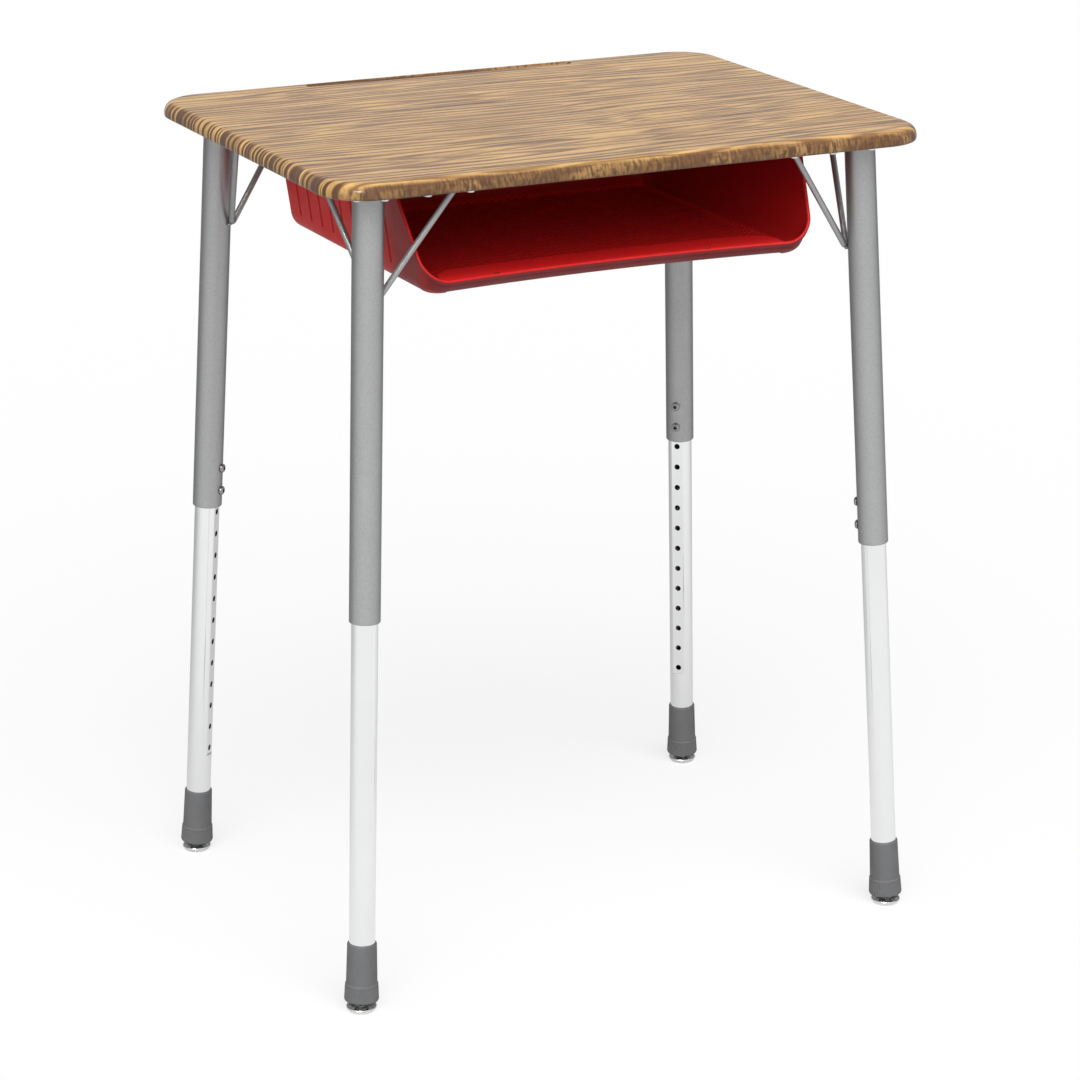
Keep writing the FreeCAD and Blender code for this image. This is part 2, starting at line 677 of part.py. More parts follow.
screw_seats = []
for corner in CORNERS:
    place = leg_place(*CORNERS[corner])
    for p in plate_screw_places():
        screw_seats.append(place.multVec(p - UP * PLATE_T))
pilot_r = WOOD_SCREW_D / 2 + WOOD_SCREW_FIT
pilot_depth = WOOD_SCREW_BITE + WOOD_SCREW_FIT
pilots = []
for seat in screw_seats + box_screw_places():
    mouth = V(seat.x, seat.y, UNDER - TOP_T)
    pilots.append(Part.makeCylinder(pilot_r, TOP_T + pilot_depth, mouth))

save(make_work_surface(pilots), "work_surface")
save(make_book_box(), "book_box")
group([wood_screw(p, FLANGE_T) for p in box_screw_places()], "book_box_screws")

leg_pieces = {
    "mounting_plate": make_plate(),
    "upper_leg_tube": make_tube(),
    "leg_brace": make_brace(),
    "leg_insert": make_insert(),
    "foot_boot": make_boot(),
    "glide_ball_stud": make_ball_stud(),
    "glide_dish": make_dish(),
}
plate_screws = [wood_screw(p - UP * PLATE_T, PLATE_T) for p in plate_screw_places()]
adjusting_screws = [make_adjusting_screw(s) for s in SCREW_PLACES]
for corner in CORNERS:
    for name in leg_pieces:
        save(at_leg(leg_pieces[name], corner), corner + "_" + name)
    group([at_leg(s, corner) for s in plate_screws], corner + "_plate_screws")
    group([at_leg(s, corner) for s in adjusting_screws], corner + "_adjusting_screws")
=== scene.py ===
# %% [markdown]
# Student desk with book box: the looks.
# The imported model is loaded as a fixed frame. Every solid is already in its place, in metres, with Z up,
# the floor at zero and the pupil's side towards minus Y. This lesson gives each solid its finish, adds the
# welds that hold the steel together, and sets up the camera and a plain studio.

# %% Load the frame
import bpy
import math
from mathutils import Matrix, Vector


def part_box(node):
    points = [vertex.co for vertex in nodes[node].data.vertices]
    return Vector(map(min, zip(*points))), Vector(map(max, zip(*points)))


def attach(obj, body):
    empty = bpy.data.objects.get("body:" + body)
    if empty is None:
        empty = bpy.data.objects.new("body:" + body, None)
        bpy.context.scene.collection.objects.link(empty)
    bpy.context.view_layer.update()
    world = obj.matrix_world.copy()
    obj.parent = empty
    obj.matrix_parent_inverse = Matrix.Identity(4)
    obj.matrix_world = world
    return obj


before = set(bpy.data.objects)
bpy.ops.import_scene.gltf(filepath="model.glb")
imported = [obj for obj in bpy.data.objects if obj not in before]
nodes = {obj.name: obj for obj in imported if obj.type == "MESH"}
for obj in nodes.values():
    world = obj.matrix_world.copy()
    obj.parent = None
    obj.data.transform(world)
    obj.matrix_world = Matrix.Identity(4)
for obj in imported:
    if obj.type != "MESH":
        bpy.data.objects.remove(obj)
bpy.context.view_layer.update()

# %% [markdown]
# The camera stands to the left of the pupil's side and looks down a little, with a long lens, as for a
# catalogue picture. A long lens far away keeps the legs nearly parallel. The place is worked out from an
# azimuth, an elevation and a distance round a target, because these are easier to judge than three numbers.

# %% Camera
CAMERA_AZIMUTH = math.radians(-26.0278)
CAMERA_ELEVATION = math.radians(17.983)
CAMERA_DISTANCE = 3.8522
CAMERA_TARGET = Vector((-0.01058, -0.03437, 0.4032))
CAMERA_LENS = 120.07


def direction(azimuth, elevation):
    flat = math.cos(elevation)
    return Vector((math.sin(azimuth) * flat, -math.cos(azimuth) * flat, math.sin(elevation)))


back = direction(CAMERA_AZIMUTH, CAMERA_ELEVATION)
bpy.ops.object.select_all(action="DESELECT")
bpy.ops.object.camera_add(location=CAMERA_TARGET + back * CAMERA_DISTANCE)
camera = bpy.context.object
camera.rotation_euler = (-back).to_track_quat("-Z", "Y").to_euler()
camera.data.lens = CAMERA_LENS
camera.data.sensor_width = 36
camera.data.clip_end = 100
bpy.context.scene.camera = camera
bpy.context.scene.view_settings.view_transform = "Standard"
print("camera at", [round(v, 3) for v in camera.location])

# %% [markdown]
# Materials are built from nodes in code. A few small helpers keep that readable: one adds a node and sets
# its options, one feeds a socket with a number or a link, and the rest wrap the nodes that come up again
# and again. Each helper hands back an output socket, so that they can be chained.

# %% Node helpers
def add(tree, kind, **options):
    made = tree.nodes.new("ShaderNode" + kind)
    for name, value in options.items():
        setattr(made, name, value)
    return made


def feed(tree, socket, value):
    if isinstance(value, bpy.types.NodeSocket):
        tree.links.new(value, socket)
    else:
        socket.default_value = value


def maths(tree, operation, *values, clamp=False):
    made = add(tree, "Math", operation=operation, use_clamp=clamp)
    for socket, value in zip(made.inputs, values):
        feed(tree, socket, value)
    return made.outputs["Value"]


def times(tree, first, second):
    return maths(tree, "MULTIPLY", first, second)


def larger(tree, first, second):
    return maths(tree, "MAXIMUM", first, second)


def parts_of(tree, vector):
    made = add(tree, "SeparateXYZ")
    feed(tree, made.inputs[0], vector)
    return made.outputs


def facing_parts(tree):
    # The way a face looks, as three numbers from -1 to 1.
    return parts_of(tree, add(tree, "NewGeometry").outputs["Normal"])


def mapped(tree, vector, scale, shift=(0, 0, 0)):
    made = add(tree, "Mapping")
    feed(tree, made.inputs["Vector"], vector)
    made.inputs["Scale"].default_value = scale
    made.inputs["Location"].default_value = shift
    return made.outputs["Vector"]


def noise(tree, vector, scale, detail=2.0, rough=0.5, warp=0.0):
    made = add(tree, "TexNoise")
    feed(tree, made.inputs["Vector"], vector)
    feed(tree, made.inputs["Scale"], scale)
    made.inputs["Detail"].default_value = detail
    made.inputs["Roughness"].default_value = rough
    made.inputs["Distortion"].default_value = warp
    return made.outputs["Fac"]


def between(tree, value, low, high, out_low=0.0, out_high=1.0):
    made = add(tree, "MapRange", interpolation_type="SMOOTHSTEP")
    feed(tree, made.inputs["Value"], value)
    for name, number in zip(("From Min", "From Max", "To Min", "To Max"), (low, high, out_low, out_high)):
        feed(tree, made.inputs[name], number)
    return made.outputs["Result"]


def blend_colours(tree, factor, first, second, kind="MIX"):
    # A Mix node keeps sockets for every data type; 0, 6 and 7 are the ones for colours.
    made = add(tree, "Mix", data_type="RGBA", blend_type=kind)
    for index, value in zip((0, 6, 7), (factor, first, second)):
        feed(tree, made.inputs[index], value)
    return made.outputs[2]


def blend_values(tree, factor, first, second):
    # The same node for plain numbers uses sockets 0, 2 and 3.
    made = add(tree, "Mix")
    for index, value in zip((0, 2, 3), (factor, first, second)):
        feed(tree, made.inputs[index], value)
    return made.outputs[0]


def shaded(tree, colour, shade):
    # Multiplies a plain colour by a grey shade that changes over the surface.
    made = add(tree, "CombineColor")
    for socket in made.inputs:
        feed(tree, socket, shade)
    return blend_colours(tree, 1.0, colour, made.outputs["Color"], "MULTIPLY")


def bumped(tree, height, distance, strength, normal=None):
    made = add(tree, "Bump")
    feed(tree, made.inputs["Height"], height)
    made.inputs["Distance"].default_value = distance
    made.inputs["Strength"].default_value = strength
    if normal is not None:
        feed(tree, made.inputs["Normal"], normal)
    return made.outputs["Normal"]


def new_material(name):
    material = bpy.data.materials.new(name)
    material.use_nodes = True
    tree = material.node_tree
    shader = tree.nodes["Principled BSDF"]
    coords = add(tree, "TexCoord").outputs["Object"]
    return material, tree, shader, coords


print("helpers ready")

# %% [markdown]
# Several finishes share the same small effects: uneven colour, marks from handling, edges that are a
# little rounded and rubbed, and painted shade in narrow places, where an ambient occlusion node finds the
# surface hemmed in. Each is a node group, built once and placed in every material that needs it with its
# own values. A group only hands out masks, values and normals. The shader itself stays in the material.

# %% Shared effects as node groups
def new_group(name, inputs, outputs):
    group = bpy.data.node_groups.new(name, "ShaderNodeTree")
    for label, kind, value in inputs:
        socket = group.interface.new_socket(label, in_out="INPUT", socket_type="NodeSocket" + kind)
        if value is not None:
            socket.default_value = value
    for label, kind in outputs:
        group.interface.new_socket(label, in_out="OUTPUT", socket_type="NodeSocket" + kind)
    entry = group.nodes.new("NodeGroupInput")
    leave = group.nodes.new("NodeGroupOutput")
    return group, entry.outputs, leave.inputs


def place_group(tree, group, **values):
    made = add(tree, "Group", node_tree=group)
    for label, value in values.items():
        feed(tree, made.inputs[label], value)
    return made.outputs


def make_mottle():
    inputs = [("Vector", "Vector", None), ("Scale", "Float", 10.0), ("Depth", "Float", 0.05)]
    group, given, out = new_group("uneven_colour", inputs, [("Shade", "Float")])
    wide = noise(group, given["Vector"], given["Scale"], detail=3.0)
    small = noise(group, given["Vector"], times(group, given["Scale"], 9.0), detail=2.0)
    both = maths(group, "ADD", times(group, wide, 1.3), times(group, small, 0.7))
    centred = maths(group, "SUBTRACT", both, 1.0)
    feed(group, out["Shade"], maths(group, "MULTIPLY_ADD", centred, given["Depth"], 1.0))
    return group


def make_handling():
    inputs = [("Vector", "Vector", None), ("Scale", "Float", 12.0)]
    inputs += [("Low", "Float", 0.3), ("High", "Float", 0.5)]
    group, given, out = new_group("handling_marks", inputs, [("Roughness", "Float")])
    smear = noise(group, given["Vector"], given["Scale"], detail=4.0, rough=0.6, warp=0.6)
    feed(group, out["Roughness"], between(group, smear, 0.3, 0.7, given["Low"], given["High"]))
    return group


def make_edges():
    inputs = [("Radius", "Float", 0.0006)]
    group, given, out = new_group("eased_edges", inputs, [("Normal", "Vector"), ("Mask", "Float")])
    bevel = add(group, "Bevel", samples=6)
    feed(group, bevel.inputs["Radius"], given["Radius"])
    dot = add(group, "VectorMath", operation="DOT_PRODUCT")
    feed(group, dot.inputs[0], bevel.outputs["Normal"])
    feed(group, dot.inputs[1], add(group, "NewGeometry").outputs["Normal"])
    feed(group, out["Normal"], bevel.outputs["Normal"])
    feed(group, out["Mask"], between(group, dot.outputs["Value"], 0.985, 0.8))
    return group


def make_crevice_shading():
    inputs = [("Reach", "Float", 0.006)]
    group, given, out = new_group("crevice_shading", inputs, [("Mask", "Float")])
    # Painted shade: the mask is 1 where nearby surfaces hem a point in, as in sockets, flutes and steps.
    shade = add(group, "AmbientOcclusion", samples=8, only_local=True)
    feed(group, shade.inputs["Distance"], given["Reach"])
    feed(group, out["Mask"], between(group, shade.outputs["AO"], 0.95, 0.6))
    return group


uneven_colour = make_mottle()
handling_marks = make_handling()
eased_edges = make_edges()
crevice_shading = make_crevice_shading()
print("groups:", [g.name for g in (uneven_colour, handling_marks, eased_edges, crevice_shading)])

# %% [markdown]
# The legs' upper tubes, plates and braces are steel with a silver-grey powder coat. Its flakes of metal
# give it a soft sheen, which is why the shader is mostly metal. The flakes lie flat, so the paint is darker
# where it is seen at a slant, and a Layer Weight node tells where that is. That darkening goes further than
# the flakes alone would give. It is partly painted shade, which makes each round tube darker towards both
# of its edges. Powder melts into a skin that is never quite level, so it has a fine orange peel, and the
# coat is a little thinner and lighter where it goes over an edge. A fine noise gives the peel, and the
# eased edges give the thin places.

# %% Grey powder coat
POWDER_GREY = (0.385, 0.388, 0.39, 1)
POWDER_EDGE = (0.46, 0.463, 0.465, 1)
POWDER_FLOP_AND_SHADE = (0.13, 0.131, 0.132, 1)


def make_powder_coat():
    material, tree, shader, coords = new_material("grey_powder_coat")
    shade = place_group(tree, uneven_colour, Vector=coords, Scale=16.0, Depth=0.07)["Shade"]
    flakes = place_group(tree, uneven_colour, Vector=coords, Scale=520.0, Depth=0.24)["Shade"]
    shade = times(tree, shade, flakes)
    edges = place_group(tree, eased_edges, Radius=0.0007)
    thin = times(tree, edges["Mask"], 0.6)
    colour = blend_colours(tree, thin, shaded(tree, POWDER_GREY, shade), POWDER_EDGE)
    # Darker where the tube is seen at a slant: partly the flop of flat metal flakes, partly painted shade
    # on the tubes' edges.
    slant = add(tree, "LayerWeight").outputs["Facing"]
    colour = blend_colours(tree, between(tree, slant, 0.1, 0.8, 0.0, 0.5), colour, POWDER_FLOP_AND_SHADE)
    feed(tree, shader.inputs["Base Color"], colour)
    marks = place_group(tree, handling_marks, Vector=coords, Scale=30.0, Low=0.36, High=0.46)
    feed(tree, shader.inputs["Roughness"], marks["Roughness"])
    shader.inputs["Metallic"].default_value = 0.7
    shader.inputs["Specular IOR Level"].default_value = 0.2
    peel = noise(tree, coords, scale=620.0, detail=2.0, rough=0.45)
    normal = bumped(tree, peel, distance=0.00022, strength=0.5, normal=edges["Normal"])
    feed(tree, shader.inputs["Normal"], normal)
    return material


powder_coat = make_powder_coat()
print("made", powder_coat.name)

# %% [markdown]
# The leg inserts are chromed tube. Chrome takes its look from what it mirrors, so the material is plain
# metal with a low roughness. Polishing leaves very fine lines along the tube, and handling leaves faint
# dull patches. Both go into the roughness and a shallow bump.

# %% Chrome plate
CHROME = (0.8, 0.805, 0.81, 1)


def make_chrome():
    material, tree, shader, coords = new_material("chrome_plate")
    shade = place_group(tree, uneven_colour, Vector=coords, Scale=9.0, Depth=0.05)["Shade"]
    feed(tree, shader.inputs["Base Color"], shaded(tree, CHROME, shade))
    shader.inputs["Metallic"].default_value = 1.0
    lines = noise(tree, mapped(tree, coords, (900, 900, 14)), scale=1.0, detail=2.0)
    marks = place_group(tree, handling_marks, Vector=coords, Scale=18.0, Low=0.1, High=0.2)
    rough = maths(tree, "MULTIPLY_ADD", maths(tree, "SUBTRACT", lines, 0.5), 0.06, marks["Roughness"])
    feed(tree, shader.inputs["Roughness"], rough)
    edges = place_group(tree, eased_edges, Radius=0.0004)
    normal = bumped(tree, lines, distance=0.00002, strength=0.25, normal=edges["Normal"])
    feed(tree, shader.inputs["Normal"], normal)
    return material


chrome = make_chrome()
print("made", chrome.name)

# %% [markdown]
# Wood screws, ball studs and the swivel dishes are zinc-plated steel: duller than chrome, a little warm in
# places, with tool marks, and with painted shade darkening their sockets and slots. The adjusting screws in
# the legs are plain steel, which is made the same way from darker colours.

# %% Zinc-plated and plain steel
ZINC = (0.66, 0.665, 0.66, 1)
ZINC_WARM = (0.62, 0.58, 0.5, 1)
PLAIN_STEEL = (0.3, 0.3, 0.305, 1)
PLAIN_STEEL_WARM = (0.26, 0.235, 0.21, 1)
STEEL_CREVICE_SHADE = (0.02, 0.019, 0.018, 1)


def make_plated(name, plain, warm):
    material, tree, shader, coords = new_material(name)
    shade = place_group(tree, uneven_colour, Vector=coords, Scale=120.0, Depth=0.16)["Shade"]
    stain = between(tree, noise(tree, coords, scale=70.0, detail=3.0), 0.5, 0.75, 0.0, 0.6)
    colour = shaded(tree, blend_colours(tree, stain, plain, warm), shade)
    # Painted shade in sockets and slots, from the crevice mask.
    recess_shade = place_group(tree, crevice_shading, Reach=0.0025)["Mask"]
    feed(tree, shader.inputs["Base Color"], blend_colours(tree, recess_shade, colour, STEEL_CREVICE_SHADE))
    shader.inputs["Metallic"].default_value = 1.0
    marks = place_group(tree, handling_marks, Vector=coords, Scale=200.0, Low=0.2, High=0.38)
    feed(tree, shader.inputs["Roughness"], marks["Roughness"])
    edges = place_group(tree, eased_edges, Radius=0.0003)
    scratches = noise(tree, mapped(tree, coords, (900, 900, 250)), scale=1.0, detail=2.0)
    normal = bumped(tree, scratches, distance=0.00004, strength=0.35, normal=edges["Normal"])
    feed(tree, shader.inputs["Normal"], normal)
    return material


zinc = make_plated("zinc_steel", ZINC, ZINC_WARM)
plain_steel = make_plated("plain_steel", PLAIN_STEEL, PLAIN_STEEL_WARM)
print("made", zinc.name, "and", plain_steel.name)

# %% [markdown]
# The boots are a dark grey moulded plastic with a spark-eroded skin, matt and slightly chalky. Their edges
# scuff first, so the eased edges turn lighter.

# %% Grey boot plastic
BOOT_GREY = (0.142, 0.144, 0.147, 1)
BOOT_SCUFF = (0.27, 0.272, 0.275, 1)


def make_boot_plastic():
    material, tree, shader, coords = new_material("grey_boot_plastic")
    shade = place_group(tree, uneven_colour, Vector=coords, Scale=45.0, Depth=0.14)["Shade"]
    edges = place_group(tree, eased_edges, Radius=0.0006)
    patchy = between(tree, noise(tree, coords, scale=160.0, detail=3.0), 0.35, 0.65, 0.25, 0.75)
    worn = times(tree, edges["Mask"], patchy)
    colour = blend_colours(tree, worn, shaded(tree, BOOT_GREY, shade), BOOT_SCUFF)
    feed(tree, shader.inputs["Base Color"], colour)
    marks = place_group(tree, handling_marks, Vector=coords, Scale=60.0, Low=0.55, High=0.72)
    feed(tree, shader.inputs["Roughness"], marks["Roughness"])
    skin = noise(tree, coords, scale=2400.0, detail=2.0)
    normal = bumped(tree, skin, distance=0.0001, strength=0.4, normal=edges["Normal"])
    feed(tree, shader.inputs["Normal"], normal)
    return material


boot_plastic = make_boot_plastic()
print("made", boot_plastic.name)

# %% [markdown]
# The book box is one red moulding with a fine satin grain. Light and shade are painted into its colour.
# Painted light makes the raised shelf behind the rim and the outer side walls brighter. Painted shade makes
# the front wall under the rim and the outer sides near the mouth darker and duller, and it makes the inside
# walls, the back wall and the narrow places darker. The floor has a moulded diamond pattern that keeps
# books from sliding, and its raised lines are lighter. The pattern is made from two sets of lines that
# cross, and masks made from the place and the way a face looks keep each painted mark where it belongs.

# %% Red box plastic
BOX_RED = (0.74, 0.015, 0.017, 1)
BOX_LIT_AND_RUBBED = (0.9, 0.025, 0.024, 1)
BOX_SCUFF = (0.76, 0.1, 0.1, 1)
BOX_PAINTED_SHADE = (0.25, 0.022, 0.023, 1)
BOX_SHADE = (0.045, 0.006, 0.007, 1)
# Each pair says where a mask starts and where it is full, in metres.
# The rise of the floor is counted from the box's underside.
FRONT_WALL_Y = (-0.17, -0.19)
MOUTH_Y = (-0.09, -0.15)
BACK_WALL_Y = (0.05, 0.1)
FLOOR_RISE = (0.012, 0.008)
DIAMOND_WIDE = 0.0096
DIAMOND_DEEP = 0.0077
DIAMOND_HIGH = 0.001
DIAMOND_SHADE = 0.2
INSIDE_SHADE = 0.42
CREVICE_SHADE = 0.9
CREVICE_REACH = 0.006
box_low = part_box("book_box")[0]


def crossing_lines(tree, place):
    # 1 where two sets of slanting lines run, 0 in the diamonds between them.
    wide = times(tree, place["X"], 2 * math.pi / DIAMOND_WIDE)
    deep = times(tree, place["Y"], 2 * math.pi / DIAMOND_DEEP)
    heights = []
    for kind in ("ADD", "SUBTRACT"):
        wave = maths(tree, "SINE", maths(tree, kind, wide, deep))
        heights.append(between(tree, wave, 0.2, 0.95))
    return larger(tree, *heights)


def floor_pattern(tree, place, upward):
    # The lines that stand up from the floor, and the diamonds between them.
    low_down = between(tree, place["Z"], *[box_low.z + rise for rise in FLOOR_RISE])
    on_floor = times(tree, upward, low_down)
    raised = times(tree, crossing_lines(tree, place), on_floor)
    return raised, maths(tree, "SUBTRACT", on_floor, raised)


def box_light_and_shade(tree, place, facing, upward):
    # Masks of painted light on the shelf and outer walls, painted shade at the front and mouth, and painted
    # shade inside.
    at_front = between(tree, place["Y"], *FRONT_WALL_Y)
    forward = times(tree, between(tree, facing["Y"], -0.35, -0.65), between(tree, facing["Z"], 0.5, 0.2))
    sideways = times(tree, facing["X"], place["X"])
    outward = between(tree, sideways, 0.08, 0.14)
    inward = between(tree, sideways, -0.08, -0.14)
    near_mouth = times(tree, outward, between(tree, place["Y"], *MOUTH_Y, 0.0, 0.8))
    at_back = times(tree, between(tree, facing["Y"], -0.5, -0.8), between(tree, place["Y"], *BACK_WALL_Y))
    # Painted light: the shelf top behind the rim and the outer side walls turn brighter.
    painted_light = larger(tree, times(tree, at_front, upward), outward)
    # Painted shade: the front wall where it faces forward and down, and the outer sides near the mouth.
    front_and_mouth_shade = larger(tree, times(tree, forward, at_front), near_mouth)
    # Painted shade on the inner side walls and the back wall.
    return painted_light, front_and_mouth_shade, larger(tree, inward, at_back)


def box_colour(tree, coords, edges, place, facing, upward):
    raised, sunk = floor_pattern(tree, place, upward)
    painted_light, front_and_mouth_shade, inside_shade = box_light_and_shade(tree, place, facing, upward)
    # Painted light on the shelf and outer walls, and the floor's raised lines, which are lighter.
    colour = blend_colours(tree, larger(tree, painted_light, raised), BOX_RED, BOX_LIT_AND_RUBBED)
    shade = place_group(tree, uneven_colour, Vector=coords, Scale=14.0, Depth=0.1)["Shade"]
    # Painted shade darkens and dulls the front wall and the outer sides near the mouth.
    colour = shaded(tree, blend_colours(tree, front_and_mouth_shade, colour, BOX_PAINTED_SHADE), shade)
    # The diamonds between the raised lines are darker, and painted shade falls in crevices and inside the
    # box.
    recess_shade = place_group(tree, crevice_shading, Reach=CREVICE_REACH)["Mask"]
    pattern_and_shade = larger(tree, times(tree, sunk, DIAMOND_SHADE), times(tree, recess_shade, CREVICE_SHADE))
    pattern_and_shade = larger(tree, pattern_and_shade, times(tree, inside_shade, INSIDE_SHADE))
    colour = blend_colours(tree, pattern_and_shade, colour, BOX_SHADE)
    patchy = between(tree, noise(tree, coords, scale=90.0, detail=3.0), 0.45, 0.7, 0.0, 0.5)
    worn = times(tree, edges["Mask"], patchy)
    return blend_colours(tree, worn, colour, BOX_SCUFF), raised


def make_box_plastic():
    material, tree, shader, coords = new_material("red_box_plastic")
    edges = place_group(tree, eased_edges, Radius=0.0008)
    facing = facing_parts(tree)
    upward = between(tree, facing["Z"], 0.75, 0.95)
    colour, raised = box_colour(tree, coords, edges, parts_of(tree, coords), facing, upward)
    feed(tree, shader.inputs["Base Color"], colour)
    marks = place_group(tree, handling_marks, Vector=coords, Scale=22.0, Low=0.38, High=0.5)
    feed(tree, shader.inputs["Roughness"], marks["Roughness"])
    shader.inputs["Specular IOR Level"].default_value = 0.25
    skin = noise(tree, coords, scale=1500.0, detail=2.0)
    normal = bumped(tree, skin, distance=0.00012, strength=0.35, normal=edges["Normal"])
    normal = bumped(tree, raised, distance=DIAMOND_HIGH, strength=0.9, normal=normal)
    feed(tree, shader.inputs["Normal"], normal)
    return material


box_plastic = make_box_plastic()
print("made", box_plastic.name, "for a box whose underside is at", round(box_low.z, 4))

# %% [markdown]
# The work surface carries a printed wood grain under a hard clear skin. The print is one flat picture laid
# over the top and pulled down over the rounded edge, so the grain reads only X and Y. On the short sides it
# runs straight down as stripes, and on the long edges it is squeezed and smeared, and those edges are also
# darkened all over as painted shade. In boards sawn along a
# trunk the growth rings show as rows of nested tips and islands, with straight lines between the rows. The
# rings are counted by the distance to the row's middle, plus a count that rises and falls along X: where it
# rises the lines close to tips one way, where it falls the other way. It fades out between the rows, where
# the lines stay straight. The fraction of the count steps through the rings, and stretched noises break
# them into fibres and pores. Painted shade darkens the sloping walls of the pencil groove.

# %% Wood-grain top
WOOD_GOLD = (0.94, 0.56, 0.195, 1)
WOOD_TAN = (0.57, 0.315, 0.108, 1)
WOOD_BROWN = (0.285, 0.137, 0.049, 1)
WOOD_DARK = (0.115, 0.05, 0.019, 1)
ROW_PITCH = 0.088
ROW_SWAY = 0.06
ROW_SHIFT = 3.7
RING_PITCH = 0.0084
RINGS_ALONG = 8.0
TIPS_ALONG = 3.6
TIP_SIZE = 0.004
# Each pair says where a mask starts and where it is full: shares of a row from its middle, then metres.
LEAN_SHARES = (0.42, 0.12)
STRAIGHT_SHARES = (0.15, 0.3)
GROOVE_FRONT_Y = (0.223, 0.227)
GROOVE_BACK_Y = (0.2465, 0.2435)


def grain(tree, flat, stretch, shift, detail=1.0, rough=0.5):
    # A noise drawn out along X, by a smaller scale there than along Y.
    return noise(tree, mapped(tree, flat, (*stretch, 0), (*shift, 0)), 1.0, detail, rough)


def growth_rings(tree, place, flat, jitter):
    # How far a point is through its ring, and a mask of the straight lines between the rows.
    sway = grain(tree, flat, (1.8, 5), (1.7, 4.2))
    row = maths(tree, "DIVIDE", maths(tree, "MULTIPLY_ADD", sway, ROW_SWAY, place["Y"]), ROW_PITCH)
    share = maths(tree, "ABSOLUTE", maths(tree, "SUBTRACT", maths(tree, "FRACT", row), 0.5))
    across = times(tree, share, ROW_PITCH)
    along = add(tree, "CombineXYZ")
    feed(tree, along.inputs["X"], times(tree, place["X"], TIPS_ALONG))
    feed(tree, along.inputs["Y"], times(tree, maths(tree, "FLOOR", row), ROW_SHIFT))
    lean = times(tree, noise(tree, along.outputs["Vector"], scale=1.0, detail=1.0), RINGS_ALONG)
    lean = times(tree, lean, between(tree, share, *LEAN_SHARES))
    blunt = maths(tree, "SQRT", maths(tree, "MULTIPLY_ADD", across, across, TIP_SIZE ** 2))
    rings = maths(tree, "ADD", maths(tree, "DIVIDE", blunt, RING_PITCH), lean)
    straight = between(tree, share, *STRAIGHT_SHARES)
    return maths(tree, "FRACT", maths(tree, "ADD", rings, jitter)), straight


def board_colour(tree, place, flat, fibre, pores):
    # The colour of the flat print, and a mask of its pale early wood.
    ripple = grain(tree, flat, (9, 44), (6.1, 2.3))
    broad = grain(tree, flat, (6, 26), (2, 8), detail=2.0)
    jitter = maths(tree, "MULTIPLY_ADD", ripple, 0.9, times(tree, fibre, 0.4))
    ring, straight = growth_rings(tree, place, flat, jitter)
    early = times(tree, between(tree, ring, 0.3, 0.7), between(tree, ring, 1.0, 0.8))
    early = times(tree, early, between(tree, broad, 0.32, 0.6, 0.6, 1.0))
    late = times(tree, between(tree, ring, 0.24, 0.1), between(tree, broad, 0.65, 0.4, 0.45, 1.0))
    late = times(tree, late, straight)
    colour = blend_colours(tree, between(tree, fibre, 0.4, 0.58), WOOD_TAN, WOOD_BROWN)
    colour = blend_colours(tree, early, colour, WOOD_GOLD)
    colour = blend_colours(tree, late, colour, WOOD_DARK)
    colour = blend_colours(tree, between(tree, fibre, 0.53, 0.64, 0.0, 0.75), colour, WOOD_BROWN)
    colour = blend_colours(tree, between(tree, pores, 0.62, 0.74, 0.0, 0.7), colour, WOOD_DARK)
    return colour, early


def edge_print_and_shade(tree, coords, place, early):
    # Smears and painted shade on the long edges, stripes on the short ones and painted shade on the
    # groove's walls.
    facing = facing_parts(tree)
    # The long edges are darkened all over, with smears of print in them: partly print, partly painted
    # shade.
    long_edge = between(tree, maths(tree, "ABSOLUTE", facing["Y"]), 0.25, 0.85)
    smear = noise(tree, mapped(tree, coords, (330, 60, 110), (3, 0, 2)), scale=1.0, detail=3.0)
    smears_and_shade = times(tree, long_edge, between(tree, smear, 0.35, 0.65, 0.6, 1.0))
    short_edge = between(tree, maths(tree, "ABSOLUTE", facing["X"]), 0.1, 0.6, 0.0, 0.95)
    stripes = times(tree, short_edge, maths(tree, "SUBTRACT", 1.0, early))
    # Painted shade on the sloping walls of the pencil groove.
    past_front = between(tree, place["Y"], *GROOVE_FRONT_Y)
    before_back = between(tree, place["Y"], *GROOVE_BACK_Y)
    sloping = between(tree, facing["Z"], 0.97, 0.8, 0.0, 0.7)
    recess_shade = times(tree, times(tree, past_front, before_back), sloping)
    return larger(tree, larger(tree, smears_and_shade, stripes), recess_shade)


def make_wood():
    material, tree, shader, coords = new_material("wood_grain_top")
    place = parts_of(tree, coords)
    flat = mapped(tree, coords, (1, 1, 0))
    fibre = grain(tree, flat, (8, 300), (5, 1), detail=3.0, rough=0.62)
    pores = grain(tree, flat, (70, 1300), (9, 4))
    colour, early = board_colour(tree, place, flat, fibre, pores)
    pattern_and_shade = edge_print_and_shade(tree, coords, place, early)
    feed(tree, shader.inputs["Base Color"], blend_colours(tree, pattern_and_shade, colour, WOOD_DARK))
    marks = place_group(tree, handling_marks, Vector=coords, Scale=9.0, Low=0.13, High=0.22)
    feed(tree, shader.inputs["Roughness"], marks["Roughness"])
    shader.inputs["Specular IOR Level"].default_value = 0.4
    ticks = maths(tree, "MULTIPLY_ADD", pores, -0.6, times(tree, fibre, -0.4))
    feed(tree, shader.inputs["Normal"], bumped(tree, ticks, distance=0.00008, strength=0.25))
    return material


wood = make_wood()
print("made", wood.name)

# %% [markdown]
# Each node of the frame now gets its finish. A node keeps its own mesh, and only its material slot changes.
# The names end in the kind of piece, so one table from endings to finishes covers all four corners.

